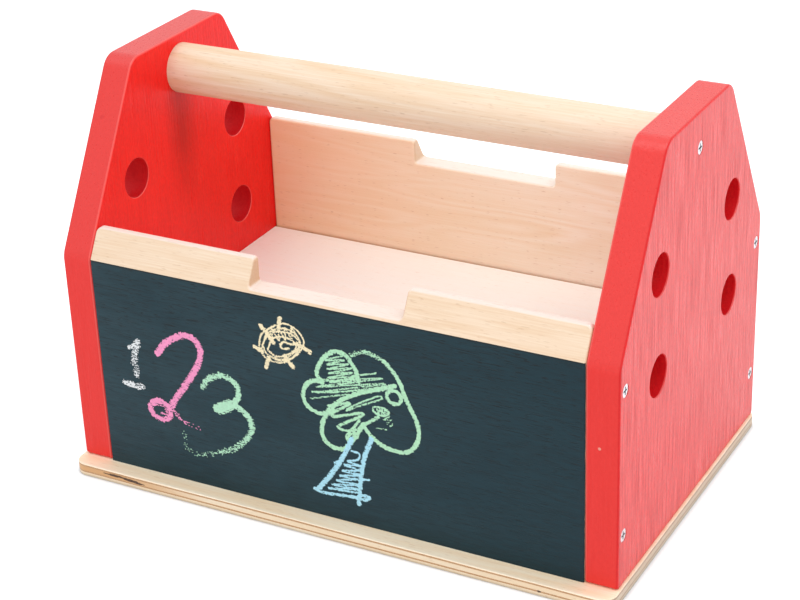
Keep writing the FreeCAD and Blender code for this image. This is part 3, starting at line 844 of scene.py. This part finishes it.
class TOTE_OT_tray(bpy.types.Operator):
    """Sand the tray floor and plane the bearers under it"""
    bl_idname = "tote.tray"
    bl_label = "Tray floor and bearers"

    def execute(self, context):
        c = colours()
        dress(["tray_floor"], timber(
            "sanded_plywood_tray", "X", c.tray_pale, c.tray_deep, c.board_pore,
            shift=81.0, figure=0.3, fibre=0.25, pore_level=0.74, pore_share=0.25,
            gap=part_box("tray_floor")[1].y))
        dress(["left_bearer", "right_bearer"], timber(
            "planed_rubberwood_bearer", "Y", c.board_pale, c.board_deep, c.board_pore,
            shift=84.0, roughness=0.6))
        return {"FINISHED"}


class TOTE_OT_drawer(bpy.types.Operator):
    """Varnish the drawer and its knob, and sand its bottom"""
    bl_idname = "tote.drawer"
    bl_label = "Drawer"

    def execute(self, context):
        c = colours()
        dress(["drawer_front"], timber(
            "varnished_rubberwood_drawer_front", "X", c.board_pale, c.board_deep, c.board_pore,
            shift=91.0, figure=0.6, pore_share=0.4))
        dress(["drawer_back"], timber(
            "planed_rubberwood_drawer_back", "X", c.board_pale, c.board_deep, c.board_pore,
            shift=93.0, roughness=0.58))
        dress(["drawer_left_side", "drawer_right_side"], timber(
            "planed_rubberwood_drawer_side", "Y", c.board_pale, c.board_deep, c.board_pore,
            shift=95.0, roughness=0.58))
        dress(["drawer_bottom"], timber(
            "sanded_plywood_drawer_bottom", "X", c.tray_pale, c.tray_deep, c.board_pore,
            shift=97.0, figure=0.4, pore_level=0.75, pore_share=0.2))
        dress(["drawer_knob"], timber(
            "varnished_turned_rubberwood_knob", "Y", c.handle_pale, c.handle_deep, c.handle_pore,
            shift=99.0, pore_share=0.4))
        return {"FINISHED"}


class TOTE_OT_fasteners(bpy.types.Operator):
    """Plate the screws and brads"""
    bl_idname = "tote.fasteners"
    bl_label = "Screws and brads"

    def execute(self, context):
        dress([name for name in frame["nodes"] if "screw" in name or "brads" in name],
              zinc_plated_steel())
        return {"FINISHED"}


class TOTE_OT_stage(bpy.types.Operator):
    """Set the floor, the light and the camera"""
    bl_idname = "tote.stage"
    bl_label = "Floor, light and camera"

    def execute(self, context):
        pale_floor()
        white_room()
        soft_lamps()
        camera()
        return {"FINISHED"}


# ---- Stage -------------------------------------------------------------------------------------
def seen(tree):
    """One where a surface is seen directly, in gloss or through glass, and nought in its light."""
    ray = add(tree, "LightPath").outputs
    shown = add(tree, "Math", (ray["Is Camera Ray"], ray["Is Glossy Ray"]), operation="ADD")
    return add(tree, "Math", (shown, ray["Is Transmission Ray"]), operation="ADD")


def pale_floor():
    """Matt white floor that keeps the shadow and is white where nothing shades it."""
    half = sizes().floor_size / 2
    mesh = bpy.data.meshes.new("floor")
    mesh.from_pydata([(-half, -half, 0), (half, -half, 0), (half, half, 0), (-half, half, 0)],
                     [], [(0, 1, 2, 3)])
    material = new_material("matt_white_floor")
    tree = material.node_tree
    lit = add(tree, "BsdfDiffuse", {"Color": colours().floor})
    near = add(tree, "AmbientOcclusion", {"Distance": 4 * MM}).outputs["AO"]
    open_air = add(tree, "MapRange", (near, 0.5, 0.95, 0.0, 0.45))
    white = add(tree, "Math", (seen(tree), open_air), operation="MULTIPLY")
    lift = add(tree, "Emission", {"Color": WHITE, "Strength": white})
    add(tree, "OutputMaterial", {"Surface": add(tree, "AddShader", (lit, lift))})
    mesh.materials.append(material)
    floor = bpy.data.objects.new("floor", mesh)
    bpy.context.scene.collection.objects.link(floor)


def white_room():
    """White all round, with a brighter backdrop behind, which the camera sees as plain white."""
    stage = bpy.context.scene.tote_stage
    world = bpy.data.worlds.new("white_room")
    world.use_nodes = True
    tree = world.node_tree
    tree.nodes.clear()
    way = add(tree, "SeparateXYZ", (add(tree, "TexCoord").outputs["Generated"],)).outputs
    lit = stage.backdrop_light
    for fade in ((way["Y"], 0.55, 0.9), (way["Z"], 0.2, 0.55, 1.0, 0.0)):
        lit = add(tree, "Math", (lit, add(tree, "MapRange", fade)), operation="MULTIPLY")
    lit = add(tree, "Math", (lit, stage.sky_light), operation="ADD")
    light = add(tree, "Background", {"Color": WHITE, "Strength": lit})
    shown = add(tree, "Background", {"Color": WHITE, "Strength": 1.0})
    add(tree, "OutputWorld", {"Surface": add(tree, "MixShader", (seen(tree), light, shown))})
    bpy.context.scene.world = world


def soft_lamps():
    """Two wide soft lamps high up: one far off in front on the left, one near on the right."""
    stage = bpy.context.scene.tote_stage
    middle = Vector((0.0, 0.0, 100 * MM))
    for name, strength, distance, azimuth, elevation in (
            ("left_lamp", stage.left_light, 3.0, -40, 65),
            ("right_lamp", stage.right_light, 0.7, 75, 62)):
        data = bpy.data.lights.new(name, "AREA")
        data.shape = "DISK"
        data.size = 0.6 * distance
        data.energy = strength * math.pi * distance ** 2
        lamp = bpy.data.objects.new(name, data)
        turn, rise = math.radians(azimuth), math.radians(elevation)
        towards = Vector((math.sin(turn) * math.cos(rise), -math.cos(turn) * math.cos(rise),
                          math.sin(rise)))
        lamp.rotation_euler = towards.to_track_quat("Z", "Y").to_euler()
        lamp.location = middle + towards * distance
        bpy.context.scene.collection.objects.link(lamp)


def camera():
    """Camera in front on the right, looking down into the tray."""
    stage = bpy.context.scene.tote_stage
    data = bpy.data.cameras.new("camera")
    data.sensor_fit = "HORIZONTAL"
    data.sensor_width = 36.0
    data.lens = stage.lens
    data.clip_start, data.clip_end = 0.01, 100.0
    eye = bpy.data.objects.new("camera", data)
    turn = (Matrix.Rotation(stage.camera_yaw, 4, "Z")
            @ Matrix.Rotation(math.radians(90) + stage.camera_pitch, 4, "X")
            @ Matrix.Rotation(stage.camera_roll, 4, "Z"))
    eye.matrix_world = Matrix.Translation(stage.camera_place) @ turn
    bpy.context.scene.collection.objects.link(eye)
    bpy.context.scene.camera = eye
    bpy.context.scene.view_settings.view_transform = "Standard"


STEPS = (TOTE_OT_ends, TOTE_OT_handle, TOTE_OT_boards, TOTE_OT_blackboard, TOTE_OT_chalk,
         TOTE_OT_base, TOTE_OT_tray, TOTE_OT_drawer, TOTE_OT_fasteners, TOTE_OT_stage)


class TOTE_PT_panel(bpy.types.Panel):
    """Lists the steps that finish the tote, with its colours and sizes"""
    bl_label = "Tool Tote"
    bl_idname = "TOTE_PT_panel"
    bl_space_type = "VIEW_3D"
    bl_region_type = "UI"
    bl_category = "Tool Tote"

    def draw(self, context):
        for step in STEPS:
            self.layout.operator(step.bl_idname)
        for group in (context.scene.tote_colours, context.scene.tote_sizes,
                      context.scene.tote_stage):
            box = self.layout.box()
            for name in type(group).__annotations__:
                box.prop(group, name)


CLASSES = (ToteColours, ToteSizes, ToteStage) + STEPS + (TOTE_PT_panel,)


def register():
    """Adds the sidebar, its steps and its values to the scene."""
    for made in CLASSES:
        bpy.utils.register_class(made)
    bpy.types.Scene.tote_colours = PointerProperty(type=ToteColours)
    bpy.types.Scene.tote_sizes = PointerProperty(type=ToteSizes)
    bpy.types.Scene.tote_stage = PointerProperty(type=ToteStage)


def unregister():
    """Takes away what register added."""
    for name in ("tote_colours", "tote_sizes", "tote_stage"):
        delattr(bpy.types.Scene, name)
    for made in reversed(CLASSES):
        bpy.utils.unregister_class(made)


def main():
    """Runs every step in order."""
    register()
    for step in STEPS:
        getattr(bpy.ops.tote, step.bl_idname.split(".")[1])()


if __name__ == "__main__":
    main()
